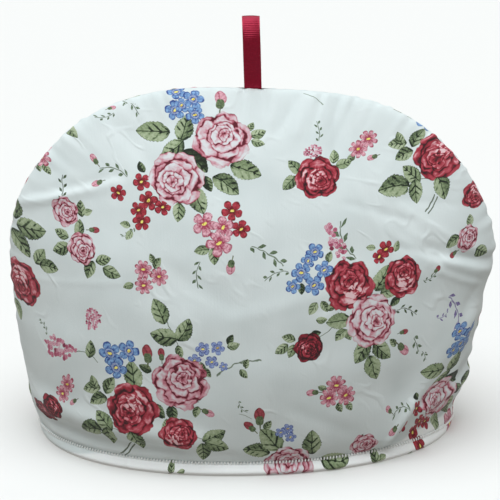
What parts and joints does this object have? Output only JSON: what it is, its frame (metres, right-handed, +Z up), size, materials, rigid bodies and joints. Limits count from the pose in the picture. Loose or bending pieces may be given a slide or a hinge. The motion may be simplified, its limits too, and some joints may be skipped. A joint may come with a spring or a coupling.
{
  "type": "tea cosy",
  "caption": "Padded tea cosy of flowered cotton: a hollow dome, open below, that stands on its stitched hem over a teapot, with a ribbon loop at its crown.",
  "frame": {"origin": "middle of the cosy's footprint, on the surface it stands on", "axes": "+X along the cosy's length, +Y from its front panel to its back panel, +Z up"},
  "size_m": [0.3585, 0.188, 0.3128],
  "materials": {
    "printed_cotton": "plain-woven cotton, pale ground printed with roses, small flowers and leaves",
    "ribbon": "red grosgrain ribbon with crosswise ribs and a soft shine"
  },
  "bodies": {
    "root": {"front_panel": "printed_cotton", "back_panel": "printed_cotton", "hanging_loop": "ribbon"}
  },
  "joints": []
}
